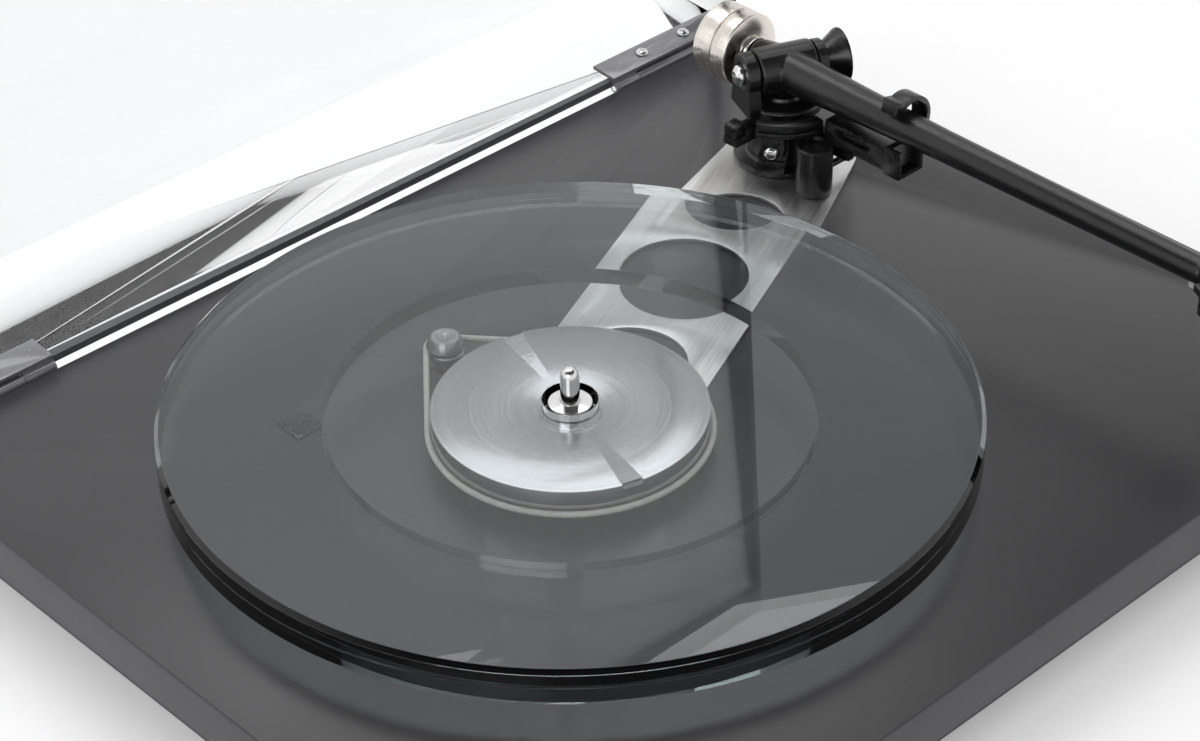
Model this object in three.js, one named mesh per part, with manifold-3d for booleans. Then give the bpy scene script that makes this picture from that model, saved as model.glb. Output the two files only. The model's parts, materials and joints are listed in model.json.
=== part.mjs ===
// A belt-driven record player with a glass platter, a low plinth and an open clear lid.
// Millimetres, +X to the player's right, +Y to its rear, +Z up. Everything is placed from the spindle's
// axis at the plinth's top face; the whole is then moved so that its origin is its bottom centre.
import * as THREE from 'three';
import { mergeVertices } from 'three/addons/utils/BufferGeometryUtils.js';
import Module from 'manifold-3d';

const wasm = await Module();
wasm.setup();

// ---- driving dimensions -------------------------------------------------------------------------
const runningGap = 0.05;      // radial, shaft in bore
const gap = 0.3;              // between separate pieces that do not bear on each other
const screwGap = 0.3;         // radial, screw in its hole

const plinthWidth = 450.4;
const plinthDepth = 360.5;
const plinthHeight = 20;
const skin = 0.8;             // laminate and edge band
const spindleFromLeft = 179.3;
const spindleFromFront = 183.2;

const platterRadius = 150;
const glass = 7;              // one layer
const ringBore = 90;
const platterHole = 10.25;
const platterChamfer = 1.75;
const subPlatterRadius = 51;
const subPlatterBottom = 5.5;
const subPlatterTop = 17.8;
const beltThickness = 2.3;
const beltHeight = 8.7;       // its middle
const grooveDepth = 0.3;
const hubRadius = 8.4;
const hubTop = 23.6;
const spindleRadius = 3.55;
const spindleTop = 38;
const bearingShaft = 5;       // radius
const bearingDepth = 27;      // shaft end below the plinth's top
const ballRadius = 2.5;

const motorDistance = 69;     // behind the spindle
const motorRadius = 21;
const motorHeight = 21;
const motorPocket = 14;       // depth from below
const motorWall = 2;
const motorShaft = 1.5;
const pulleyBottom = 3;
const pulleyGroove = 6;       // radius where the belt runs
const pulleyFlare = 7.4;
const pulleyTop = 5.5;        // radius of its top face
const pulleyHeight = 14.2;    // its top face above the plinth

const braceThickness = 1.8;
const braceHalfWidth = 34;
const braceHoles = [[54, 23], [112, 25.5], [168, 20.3]]; // distance from the spindle, radius

const footHeight = 18;
const footRadius = 20;
const footInset = 34;

const armX = 204;             // the arm's upright axis, from the spindle
const armY = 88.5;
const armZ = 44;              // the arm tube's axis above the plinth
const bearingTurn = THREE.MathUtils.degToRad(-23.1); // the tilt bearing's direction
const tubeLength = 216;
const bossRadius = 10;
const bossHalf = 12.7;
const earRadius = 9.3;
const earThickness = 5.4;
const rightEar = 4;
const yokeRadius = 17.2;
const yokeBottom = armZ - 17.5;
const pillarRadius = 14;
const pillarBore = 4;
const offsetAngle = THREE.MathUtils.degToRad(24);
const counterweightRadius = 16;
const counterweightLength = 17.8;
const stubRadius = 5;
const stubLength = 42;        // its rear end from the arm's axis

const lidHeight = 68;
const lidWall = 3.2;
const lidGap = 1.5;           // rim above the plinth when closed
const lidOpen = THREE.MathUtils.degToRad(86);
const hingeRadius = 2.2;
const hingePin = 1.2;
const hingePlate = 1.5;
const hingeWidth = 73;
const hingeInset = 3.6;       // from the plinth's side to the hinge

// ---- places worked out from them ----------------------------------------------------------------
const left = -spindleFromLeft;
const right = left + plinthWidth;
const front = -spindleFromFront;
const rear = front + plinthDepth;
const middleX = (left + right) / 2;
const under = -plinthHeight;
const hingeY = rear + gap + hingeRadius;
const hingeCentres = [left + hingeInset + hingeWidth / 2, right - hingeInset - hingeWidth / 2];
const platterBottom = subPlatterTop - glass;
const platterTop = subPlatterTop + glass;
const armAngle = Math.atan2(armY, armX);
const armReach = Math.hypot(armX, armY);

const group = new THREE.Group();

// ---- shape helpers ------------------------------------------------------------------------------
function closed(geometry) {
  const bare = geometry.clone();
  bare.deleteAttribute('normal');
  bare.deleteAttribute('uv');
  const merged = mergeVertices(bare, 1e-4);
  const index = merged.index.array;
  const triangles = [];
  for (let i = 0; i < index.length; i += 3) {
    const [a, b, c] = [index[i], index[i + 1], index[i + 2]];
    if (a !== b && b !== c && c !== a) triangles.push(a, b, c);
  }
  merged.setIndex(triangles);
  return merged;
}

function solid(geometry) {
  const merged = closed(geometry);
  const vertProperties = new Float32Array(merged.attributes.position.array);
  const triVerts = new Uint32Array(merged.index.array);
  return new wasm.Manifold(new wasm.Mesh({ numProp: 3, vertProperties, triVerts }));
}

function surface(body) {
  const mesh = body.getMesh();
  const geometry = new THREE.BufferGeometry();
  geometry.setAttribute('position', new THREE.BufferAttribute(new Float32Array(mesh.vertProperties), 3));
  geometry.setIndex(Array.from(mesh.triVerts));
  return geometry;
}

function join(...geometries) {
  return surface(geometries.map(solid).reduce((sum, next) => sum.add(next)));
}

function cut(geometry, ...tools) {
  return surface(tools.map(solid).reduce((rest, tool) => rest.subtract(tool), solid(geometry)));
}

// A round body about Z from [radius, height] points, bottom to top.
function turned(points, segments = 24) {
  const profile = points.map(([radius, height]) => new THREE.Vector2(radius, height));
  return new THREE.LatheGeometry(profile, segments).rotateX(Math.PI / 2);
}

function rod(radius, low, high, segments = 16) {
  return turned([[0, low], [radius, low], [radius, high], [0, high]], segments);
}

function tubeRing(inner, outer, low, high, segments = 28) {
  return turned([[inner, low], [outer, low], [outer, high], [inner, high], [inner, low]], segments);
}

function block(x0, x1, y0, y1, z0, z1) {
  return new THREE.BoxGeometry(x1 - x0, y1 - y0, z1 - z0)
    .translate((x0 + x1) / 2, (y0 + y1) / 2, (z0 + z1) / 2);
}

function prism(points, low, high) {
  const shape = new THREE.Shape(points.map(([x, y]) => new THREE.Vector2(x, y)));
  return new THREE.ExtrudeGeometry(shape, { depth: high - low, bevelEnabled: false }).translate(0, 0, low);
}

function arcPoints(x, y, radius, from, to, steps) {
  return Array.from({ length: steps + 1 }, (_, i) => {
    const angle = from + ((to - from) * i) / steps;
    return [x + radius * Math.cos(angle), y + radius * Math.sin(angle)];
  });
}

// Turns a body from the Z axis onto the tilt bearing's axis, through the arm's centre.
function onBearing(geometry) {
  return geometry.rotateY(Math.PI / 2).rotateZ(bearingTurn).translate(armX, armY, armZ);
}

// Turns a body from the Z axis so that +Z becomes +Y, through the arm's centre.
function alongArm(geometry) {
  return geometry.rotateX(-Math.PI / 2).translate(armX, armY, armZ);
}

function finish(color, roughness, metalness = 0, opacity = 1) {
  return new THREE.MeshStandardMaterial({ color, roughness, metalness, opacity, transparent: opacity < 1 });
}

const finishes = {
  laminate: () => finish(0x5d5d5e, 0.5),
  edge: () => finish(0x6a6a6b, 0.5),
  core: () => finish(0x8a7a62, 0.9),
  brushed: () => finish(0xc8c8c6, 0.35, 1),
  machined: () => finish(0xd6d3cf, 0.25, 1),
  polished: () => finish(0xe0e0e0, 0.1, 1),
  steel: () => finish(0xcfc6bc, 0.25, 1),
  brass: () => finish(0xb08d4a, 0.35, 1),
  blackMetal: () => finish(0x1c1c1d, 0.45, 0.3),
  blackPlastic: () => finish(0x151516, 0.35),
  glass: () => finish(0xdfe8e6, 0.05, 0, 0.35),
  acrylic: () => finish(0xf2f4f4, 0.05, 0, 0.25),
  rubber: () => finish(0x202021, 0.85),
  belt: () => finish(0xd8d6cc, 0.6),
  board: () => finish(0x2e5a3a, 0.6),
  greyPlastic: () => finish(0x6e6e70, 0.3),
};

function add(name, geometry, material, parent = group) {
  const mesh = new THREE.Mesh(geometry, finishes[material]());
  mesh.name = name;
  parent.add(mesh);
  return mesh;
}

// ---- plinth -------------------------------------------------------------------------------------
const motorPlateTop = under + motorPocket;
const boardPocket = { x0: -150, x1: -84, y0: -20, y1: 24, depth: 9 };
const plug = { x: -66, y: 75, width: 13, depth: 14, height: 5 };
const feet = [[left + footInset, front + footInset], [right - footInset, front + footInset],
  [middleX, rear - footInset]];
const footPeg = 4;             // radius of the peg moulded on each foot
const footPegLength = 11;

function plinthHoles(margin) {
  return [
    rod(9 + margin, under - 1, 1).translate(0, 0, 0),
    rod(pillarBore * 2 + margin, under - 1, 1).translate(armX, armY, 0),
    rod(5, under - 1, 1).translate(0, motorDistance, 0),
  ];
}

function motorCut(margin) {
  return rod(motorRadius + motorWall + 1 + margin, under - 1, motorPlateTop, 40).translate(0, motorDistance, 0);
}

function boardCut() {
  const { x0, x1, y0, y1, depth } = boardPocket;
  return block(x0, x1, y0, y1, under - 1, under + depth);
}

function footPegHoles() {
  return feet.map(([x, y]) => rod(footPeg + gap, under - 1, under + footPegLength + gap, 24).translate(x, y, 0));
}

function plugCut() {
  const { x, y, width, depth, height } = plug;
  return block(x - width / 2, x + width / 2, y - depth / 2, y + depth / 2, -height, 1);
}

add('plinth_core', cut(
  block(left + skin, right - skin, front + skin, rear - skin, under + skin, -skin),
  ...plinthHoles(screwGap), motorCut(0), boardCut(), ...footPegHoles(), plugCut(),
), 'core');
add('plinth_top_skin', cut(block(left, right, front, rear, -skin, 0),
  ...plinthHoles(screwGap), plugCut()), 'laminate');
add('plinth_bottom_skin', cut(block(left, right, front, rear, under, under + skin),
  ...plinthHoles(screwGap), motorCut(0), boardCut(), ...footPegHoles()), 'laminate');
add('plinth_edge_band', cut(block(left, right, front, rear, under + skin, -skin),
  block(left + skin, right - skin, front + skin, rear - skin, under, 0)), 'edge');

function plinthPlug() {
  const { x, y, width, depth, height } = plug;
  const lip = block(x - width / 2 + gap, x + width / 2 - gap, y - depth / 2 + gap, y + depth / 2 - gap,
    -height, 0.4);
  return cut(lip, rod(3.2, 0, 1, 24).translate(x, y, 0));
}
add('plinth_plug', plinthPlug(), 'blackPlastic');

// ---- braces from the main bearing to the arm ----------------------------------------------------
function brace(low) {
  const shoulder = 175;
  const endX = armReach + 3;
  const endHigh = 24;
  const endLow = -31;
  const endMiddle = (endHigh + endLow) / 2;
  const outline = [
    [shoulder, -braceHalfWidth],
    ...arcPoints(endX, endMiddle, (endHigh - endLow) / 2, -Math.PI / 2, Math.PI / 2, 16),
    [shoulder + 6, 29],
    [shoulder - 5, braceHalfWidth],
    ...arcPoints(0, 0, braceHalfWidth, Math.PI / 2, Math.PI * 1.5, 20),
  ];
  const plate = prism(outline, low, low + braceThickness);
  const holes = [...braceHoles, [0, 9 + screwGap], [armReach, pillarBore * 2 + screwGap]];
  const tools = holes.map(([along, radius]) => rod(radius, low - 1, low + braceThickness + 1, 32)
    .translate(along, 0, 0));
  return cut(plate, ...tools).rotateZ(armAngle);
}
add('upper_brace', brace(0), 'brushed');
add('lower_brace', brace(under - braceThickness), 'brushed');

// ---- main bearing -------------------------------------------------------------------------------
const ballPlay = 0.05;
const bearingFloor = -bearingDepth - 2 * ballRadius - 2 * ballPlay;
const bore = bearingShaft + runningGap;
const flangeTop = braceThickness + 1.4;
add('bearing_housing', turned([
  [0, bearingFloor - 2], [8, bearingFloor - 2], [9, bearingFloor], [9, braceThickness],
  [16, braceThickness], [16, flangeTop], [bore, flangeTop], [bore, bearingFloor], [0, bearingFloor],
]), 'brass');
add('bearing_ball', new THREE.SphereGeometry(ballRadius, 12, 8)
  .translate(0, 0, -bearingDepth - ballPlay - ballRadius), 'polished');

// ---- sub-platter, hub and platter ---------------------------------------------------------------
const beltLow = beltHeight - beltThickness / 2;
const beltHigh = beltHeight + beltThickness / 2;
const rimNotch = { angle: 72.5, length: 8, depth: 1.2 };

function subPlatter() {
  const seat = subPlatterRadius - grooveDepth;
  const web = 3;
  const wall = 5;
  const boss = 16;
  const body = turned([
    [hubRadius + gap, subPlatterBottom], [boss, subPlatterBottom], [boss, subPlatterTop - web],
    [subPlatterRadius - wall, subPlatterTop - web], [subPlatterRadius - wall, subPlatterBottom],
    [subPlatterRadius, subPlatterBottom], [subPlatterRadius, beltLow - gap], [seat, beltLow - gap],
    [seat, beltHigh + gap], [subPlatterRadius, beltHigh + gap], [subPlatterRadius, subPlatterTop],
    [hubRadius + gap, subPlatterTop], [hubRadius + gap, subPlatterBottom],
  ], 56);
  const notches = [0, 180].map((turn) => block(subPlatterRadius - rimNotch.depth, subPlatterRadius + 1,
    -rimNotch.length / 2, rimNotch.length / 2, subPlatterTop - 2, subPlatterTop + 1)
    .rotateZ(THREE.MathUtils.degToRad(rimNotch.angle + turn)));
  return cut(body, ...notches);
}
add('sub_platter', subPlatter(), 'machined');

const hubFlange = flangeTop + gap;
add('spindle_hub', turned([
  [0, -bearingDepth], [bearingShaft, -bearingDepth], [bearingShaft, hubFlange], [14, hubFlange],
  [14, subPlatterBottom], [hubRadius, subPlatterBottom], [hubRadius, hubTop - 0.5],
  [hubRadius - 0.5, hubTop], [spindleRadius, hubTop], [spindleRadius, spindleTop - 4.5],
  [spindleRadius * 0.82, spindleTop - 1.5], [spindleRadius * 0.45, spindleTop], [0, spindleTop],
]), 'polished');

add('platter_disc', turned([
  [platterHole, subPlatterTop], [platterRadius, subPlatterTop], [platterRadius, platterTop - platterChamfer],
  [platterRadius - platterChamfer, platterTop], [platterHole, platterTop], [platterHole, subPlatterTop],
], 90), 'glass');
add('platter_ring', tubeRing(ringBore, platterRadius, platterBottom, subPlatterTop, 90), 'glass');

// ---- motor, pulley and belt ---------------------------------------------------------------------
const motorTop = motorPlateTop - motorWall;
const motorBottom = motorTop - motorHeight;
const coverFloor = motorBottom - 1;

function atMotor(geometry) {
  return geometry.translate(0, motorDistance, 0);
}
add('motor_body', atMotor(turned([
  [0, motorBottom], [motorRadius, motorBottom], [motorRadius, motorTop], [motorRadius + motorWall, motorTop],
  [motorRadius + motorWall, motorPlateTop], [motorShaft + runningGap, motorPlateTop],
  [motorShaft + runningGap, motorBottom + 4], [0, motorBottom + 4],
])), 'steel');
add('motor_cover', atMotor(turned([
  [0, coverFloor - 1.5], [motorRadius + 4, coverFloor - 1.5], [motorRadius + 4, under - 1.5],
  [motorRadius + 6.5, under - 1.5], [motorRadius + 6.5, under], [motorRadius + 2.5, under],
  [motorRadius + 2.5, coverFloor], [0, coverFloor],
])), 'blackPlastic');
add('motor_shaft', atMotor(rod(motorShaft, motorBottom + 4 + gap, pulleyHeight - 4, 24)), 'polished');

function pulley() {
  const flareHeight = pulleyHeight - 4;
  const seatLow = beltLow - gap;
  const seatHigh = Math.min(beltHigh + gap, flareHeight - 0.02);
  const shaftBore = motorShaft + runningGap;
  const dimple = 0.8;
  return turned([
    [shaftBore, pulleyBottom], [pulleyTop, pulleyBottom], [pulleyGroove + 1, seatLow],
    [pulleyGroove, seatLow], [pulleyGroove, seatHigh], [pulleyFlare, flareHeight],
    [pulleyTop, pulleyHeight], [dimple, pulleyHeight], [0, pulleyHeight - dimple],
    [0, pulleyHeight - 3.5], [shaftBore, pulleyHeight - 3.5], [shaftBore, pulleyBottom],
  ], 28);
}
add('motor_pulley', atMotor(pulley()), 'polished');

// The belt wraps both wheels: two arcs joined by their outer tangents.
function beltLoop(radiusFront, radiusRear) {
  const lean = Math.asin((radiusFront - radiusRear) / motorDistance);
  const frontArc = arcPoints(0, 0, radiusFront, Math.PI - lean, Math.PI * 2 + lean, 48);
  const rearArc = arcPoints(0, motorDistance, radiusRear, lean, Math.PI - lean, 16);
  return [...frontArc, ...rearArc];
}

function belt() {
  const seatFront = subPlatterRadius - grooveDepth + gap;
  const seatRear = pulleyGroove + gap;
  const outer = prism(beltLoop(seatFront + beltThickness, seatRear + beltThickness), beltLow, beltHigh);
  return cut(outer, prism(beltLoop(seatFront, seatRear), beltLow - 1, beltHigh + 1));
}
add('drive_belt', belt(), 'belt');

// ---- feet ---------------------------------------------------------------------------------------
const floor = under - footHeight;
const footNames = ['foot_front_left', 'foot_front_right', 'foot_rear'];
feet.forEach(([x, y], i) => add(footNames[i], turned([
  [0, floor], [footRadius - 4, floor], [footRadius - 1, floor + 3], [footRadius, under], [footPeg, under],
  [footPeg, under + footPegLength], [0, under + footPegLength],
]).translate(x, y, 0), 'rubber'));

// ---- electronics under the plinth ---------------------------------------------------------------
const boardPlay = 1;
add('board_cover', block(boardPocket.x0 - 5, boardPocket.x1 + 5, boardPocket.y0 - 5, boardPocket.y1 + 5,
  under - 1.5, under), 'blackPlastic');
function controlBoard() {
  const { x0, x1, y0, y1 } = boardPocket;
  const low = under + 2;
  const plate = block(x0 + boardPlay, x1 - boardPlay, y0 + boardPlay, y1 - boardPlay, low, low + 1.6);
  const posts = [[x0 + 4, y0 + 4], [x1 - 4, y0 + 4], [x0 + 4, y1 - 4], [x1 - 4, y1 - 4]]
    .map(([x, y]) => rod(2, under, low + 0.5, 12).translate(x, y, 0));
  const chips = [block(x0 + 12, x0 + 24, y0 + 12, y0 + 24, low + 1, low + 4),
    rod(4, low + 1, low + 6, 20).translate(x1 - 14, y1 - 12, 0)];
  return join(plate, ...posts, ...chips);
}
add('control_board', controlBoard(), 'board');

const inlet = { x: -96, width: 18, depth: 14, height: 11, socket: 2.75 };
function powerInlet() {
  const { x, width, depth, height, socket } = inlet;
  const body = block(x - width / 2, x + width / 2, rear - depth, rear, under - height, under);
  const hole = rod(socket, 0, 11, 24).rotateX(-Math.PI / 2).translate(x, rear - 10, under - height / 2);
  return cut(body, hole);
}
add('power_inlet', powerInlet(), 'blackPlastic');

const rocker = { x: left + footInset + footRadius + 26, y: front + 14, half: 9.2, width: 11, height: 4, pin: 1 };
const rockerZ = under - 6.3;
function switchHousing() {
  const { x, y, pin } = rocker;
  const body = block(x - 13, x + 13, y - 9, y + 9, under - 9, under);
  const pocket = block(x - 10, x + 10, y - 6, y + 6, under - 10, under - 2);
  const pivot = rod(pin + 0.1, -8, 8, 20).rotateX(Math.PI / 2).translate(x, y, rockerZ);
  return cut(body, pocket, pivot);
}
add('switch_housing', switchHousing(), 'blackPlastic');

function powerRocker() {
  const { x, y, half, width, height, pin } = rocker;
  const section = [[-half, -height / 2], [0, -height / 4], [half, -height / 2], [half, height / 2],
    [-half, height / 2]];
  const body = prism(section, -width / 2, width / 2).rotateX(Math.PI / 2);
  const pivot = rod(pin, -7.5, 7.5, 20).rotateX(Math.PI / 2);
  return join(body, pivot).translate(x, y, rockerZ);
}
add('power_rocker', powerRocker(), 'greyPlastic');

// ---- lid and hinges, built closed about the hinge line, then opened -----------------------------
const lid = new THREE.Group();
lid.position.set(0, hingeY, 0);
lid.rotation.x = -lidOpen;
group.add(lid);
const lidBack = 0;            // the back wall's outer face stands over the hinge line
const lidFront = front - hingeY;
const rim = lidGap;
const roof = rim + lidHeight;
const knuckle = 14;
const tabTop = rim + 2.6;
const leafGap = gap;
const leafOut = lidBack - lidWall - leafGap;
const leafBottom = gap;
const leafTop = rim + 12;
const lidScrew = { spread: 12.75, height: 7.2, radius: 1.4 };

function fourScrews(make) {
  return hingeCentres.flatMap((x) => [-1, 1].map((side) => make(x + side * lidScrew.spread)));
}

// A round body along Y, from y0 to y1, at x and z.
function throughWall(radius, y0, y1, x, z, segments = 14) {
  return rod(radius, -y1, -y0, segments).rotateX(Math.PI / 2).translate(x, 0, z);
}

function lidShell() {
  const shell = block(left, right, lidFront, lidBack, rim, roof);
  const inside = block(left + lidWall, right - lidWall, lidFront + lidWall, lidBack - lidWall, rim - 1,
    roof - lidWall);
  const screwHoles = fourScrews((x) => throughWall(lidScrew.radius + screwGap, lidBack - lidWall - 1,
    lidBack + 1, x, lidScrew.height));
  const tabs = hingeCentres.flatMap((x) => [-1, 1].map((side) => {
    const middle = x + side * (hingeWidth - knuckle) / 2;
    return block(middle - knuckle / 2 - gap, middle + knuckle / 2 + gap, lidBack - lidWall - 1,
      lidBack + 1, rim - 1, tabTop + gap);
  }));
  const knuckles = hingeCentres.map((x) => block(x - hingeWidth / 2, x + hingeWidth / 2,
    lidBack - lidWall - 1, lidBack + 1, rim - 1, hingeRadius + gap));
  return cut(shell, inside, ...screwHoles, ...tabs, ...knuckles);
}
add('lid', lidShell(), 'acrylic', lid);

function barrel(x0, x1, radius) {
  return rod(radius, x0, x1, 14).rotateY(Math.PI / 2);
}

function lidPlate(x) {
  const plate = block(x - hingeWidth / 2, x + hingeWidth / 2, leafOut - hingePlate, leafOut, leafBottom, leafTop);
  const tabs = [-1, 1].flatMap((side) => {
    const middle = x + side * (hingeWidth - knuckle) / 2;
    const [x0, x1] = [middle - knuckle / 2, middle + knuckle / 2];
    return [block(x0, x1, leafOut - hingePlate, 0.5, leafBottom, tabTop), barrel(x0, x1, hingeRadius)];
  });
  const bores = barrel(x - hingeWidth, x + hingeWidth, hingePin + runningGap * 2);
  const holes = [-1, 1].map((side) => throughWall(lidScrew.radius + screwGap, leafOut - hingePlate - 1,
    leafOut + 1, x + side * lidScrew.spread, lidScrew.height));
  return cut(join(plate, ...tabs), bores, ...holes);
}
add('lid_plate_left', lidPlate(hingeCentres[0]), 'greyPlastic', lid);
add('lid_plate_right', lidPlate(hingeCentres[1]), 'greyPlastic', lid);

function lidScrewAt(x) {
  const seat = leafOut - hingePlate - leafGap;
  const head = 2.8;
  const headHigh = 1.4;
  const shank = throughWall(lidScrew.radius, seat - 0.5, lidBack, x, lidScrew.height);
  const dome = turned([[0, -0.1], [head, -0.1], [head, 0.5], [head * 0.6, headHigh], [0, headHigh]], 24)
    .rotateX(Math.PI / 2).translate(x, seat, lidScrew.height);
  const slots = [block(-2.2, 2.2, -0.35, 0.35, -3, 3), block(-0.35, 0.35, -2.2, 2.2, -3, 3)]
    .map((slot) => slot.scale(0.8, 0.8, 0.25).rotateX(Math.PI / 2)
      .translate(x, seat - headHigh, lidScrew.height));
  return cut(join(shank, dome), ...slots);
}
fourScrews(lidScrewAt).forEach((screw, i) => add(`lid_screw_${i + 1}`, screw, 'polished', lid));
add('lid_bumper', block(middleX - 10, middleX + 10, lidFront + 0.4, lidFront + lidWall - 0.4, gap, rim - gap),
  'rubber', lid);

function hingeBracket(x) {
  const half = hingeWidth / 2 - knuckle - gap;
  const [y0, y1] = [rear, rear + hingePlate];
  const plate = block(x - half, x + half, y0, y1, under + 2, -hingeRadius);
  const web = block(x - half, x + half, y0 + gap, hingeY, -hingeRadius - 1, -hingeRadius + 1.2);
  const bores = barrel(x - hingeWidth, x + hingeWidth, hingePin + runningGap * 2).translate(0, hingeY, 0);
  const holes = [-1, 1].map((side) => throughWall(1.6 + screwGap, rear - 1, rear + 5,
    x + side * lidScrew.spread, under + 9));
  return cut(join(plate, web, barrel(x - half, x + half, hingeRadius).translate(0, hingeY, 0)),
    bores, ...holes);
}
add('hinge_bracket_left', hingeBracket(hingeCentres[0]), 'greyPlastic');
add('hinge_bracket_right', hingeBracket(hingeCentres[1]), 'greyPlastic');
['hinge_pin_left', 'hinge_pin_right'].forEach((name, i) => add(name, barrel(
  hingeCentres[i] - hingeWidth / 2, hingeCentres[i] + hingeWidth / 2, hingePin).translate(0, hingeY, 0),
'polished'));

// ---- arm pillar and what stands round it --------------------------------------------------------
const pillarTop = yokeBottom - gap;
const pivotRadius = 5;
const pivotTop = yokeBottom + 6;

function atArm(geometry) {
  return geometry.translate(armX, armY, 0);
}
add('arm_pillar', atArm(turned([
  [pillarBore, under - 12], [pillarBore * 2, under - 12], [pillarBore * 2, braceThickness],
  [20, braceThickness], [20, 4.3], [pillarRadius + 1, 4.8], [pillarRadius, 6], [pillarRadius, pillarTop],
  [pivotRadius, pillarTop], [pivotRadius, pivotTop], [0, pivotTop], [0, 20], [pillarBore, 20],
  [pillarBore, under - 12],
])), 'blackMetal');
const nutTop = under - braceThickness;
add('arm_nut', atArm(cut(rod(15, nutTop - 7, nutTop, 6), rod(pillarBore * 2 + gap, nutTop - 8, nutTop + 1))),
  'machined');

const lift = { x: 193, y: 59.5, radius: 7.8, top: yokeBottom - 2.8, recess: 1.6, travel: 3.6 };
const platform = { inner: 22.6, outer: 27, bottom: yokeBottom - 1.3, top: armZ - 12.4, from: -160, to: -98, piston: 2 };
const pistonTurn = Math.atan2(lift.y - armY, lift.x - armX);
const pistonReach = (platform.inner + platform.outer) / 2;
const pistonX = armX + pistonReach * Math.cos(pistonTurn);
const pistonY = armY + pistonReach * Math.sin(pistonTurn);

function liftCylinder() {
  const { x, y, radius, top, recess } = lift;
  const body = turned([[0, braceThickness], [radius - 0.5, braceThickness], [radius, braceThickness + 0.6],
    [radius, top - 0.6], [radius - 0.6, top], [radius - 1.3, top], [radius - 1.3, top - recess],
    [0, top - recess]]).translate(x, y, 0);
  const pistonBore = rod(platform.piston + runningGap * 2, top - 14, top + 1).translate(pistonX, pistonY, 0);
  const leverBore = barrel(x, x + radius + 1, cue.pin + 0.1).translate(0, y, cue.z);
  const clearOfPillar = rod(20 + gap, 0, 4.8 + gap).translate(armX, armY, 0);
  return cut(body, pistonBore, leverBore, clearOfPillar);
}
const cue = { z: 10, pin: 1.5, reach: 13, gate: 216 };
add('lift_cylinder', liftCylinder(), 'blackMetal');

function crescent() {
  const { inner, outer, bottom, top, from, to } = platform;
  const [a, b] = [from, to].map(THREE.MathUtils.degToRad);
  const outline = [...arcPoints(0, 0, outer, a, b, 20), ...arcPoints(0, 0, inner, b, a, 20)];
  const bar = prism(outline, bottom, top).translate(armX, armY, 0);
  const step = prism([...arcPoints(0, 0, outer + 1, a, b, 20), ...arcPoints(0, 0, outer - 1.4, b, a, 20)],
    bottom + 2.2, bottom + 3).translate(armX, armY, 0);
  const piston = rod(platform.piston, lift.top - 8, bottom + 1, 24).translate(pistonX, pistonY, 0);
  return cut(join(bar, piston), step);
}
add('lift_platform', crescent(), 'blackMetal');

function cueLever() {
  const { z, pin, reach, gate } = cue;
  const axle = barrel(lift.x + 4, gate, pin);
  const arm = block(gate - 3, gate, -2, reach, -2, 2);
  const pad = block(gate - 3, gate + 4, reach - 5, reach, -2, 2);
  return join(axle, arm, pad).rotateX(THREE.MathUtils.degToRad(30)).translate(0, lift.y, z);
}
add('cue_lever', cueLever(), 'blackMetal');

// ---- rest bar, its cradle and the clip ----------------------------------------------------------
const bar = { left: 197.5, right: 209.5, bottom: armZ - 20, top: armZ - 9.7, back: 58.3, front: 24, root: 202 };
const cradle = { left: 196.5, right: 211, front: 17, top: armZ - 8.1, wall: 1.6 };
const clip = { y0: 19, y1: 27, inner: 8.8, outer: 11.2, hingeX: 215, hingeZ: armZ - 5, pin: 1, ajar: 13 };

function restBar() {
  const { left: x0, right: x1, bottom, top, back, front: y0, root } = bar;
  const beam = block(x0, x1, y0 - 1, back, bottom, top);
  const bevel = block(-5, 5, -60, 60, -5, 5).rotateY(Math.PI / 4).translate(x0 - 3.6, y0, bottom - 3.6);
  const neck = block(root, x1, back - 8, armY - pillarRadius + 2, bottom - 8, bottom + 0.2);
  const frame = cut(
    block(cradle.left, cradle.right, cradle.front, y0 + 1, bottom - 0.5, cradle.top),
    block(cradle.left + cradle.wall, cradle.right - cradle.wall, cradle.front - 1, y0 - 2,
      bottom - 0.5 + cradle.wall, cradle.top + 1),
  );
  const lug = block(cradle.right + 0.8, clip.hingeX + 2.4, clip.y1 + gap, clip.y1 + 2.3, bottom + 4,
    clip.hingeZ + 2.4);
  const pin = throughWall(clip.pin, clip.y0 - 0.3, clip.y1 + 1, clip.hingeX, clip.hingeZ);
  const lugRoot = block(x1 - 1, cradle.right + 1, clip.y1 - 3, clip.y1 + 2.3, bottom + 4, top);
  const slot = join(block(x0 - 1, x0 + 3, 36, 50, bottom + 4.6, bottom + 8.4),
    throughSide(1.9, x0 - 1, x0 + 3, 36, bottom + 6.5), throughSide(1.9, x0 - 1, x0 + 3, 50, bottom + 6.5));
  const pillarHole = rod(pillarRadius + gap, 0, 40).translate(armX, armY, 0);
  return cut(join(cut(beam, bevel), neck, frame, lug, lugRoot, pin), slot, pillarHole);
}

function throughSide(radius, x0, x1, y, z) {
  return barrel(x0, x1, radius).translate(0, y, z);
}
add('rest_bar', restBar(), 'blackPlastic');

const clipGroup = new THREE.Group();
clipGroup.position.set(clip.hingeX, 0, clip.hingeZ);
clipGroup.rotation.y = THREE.MathUtils.degToRad(clip.ajar);
group.add(clipGroup);

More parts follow.
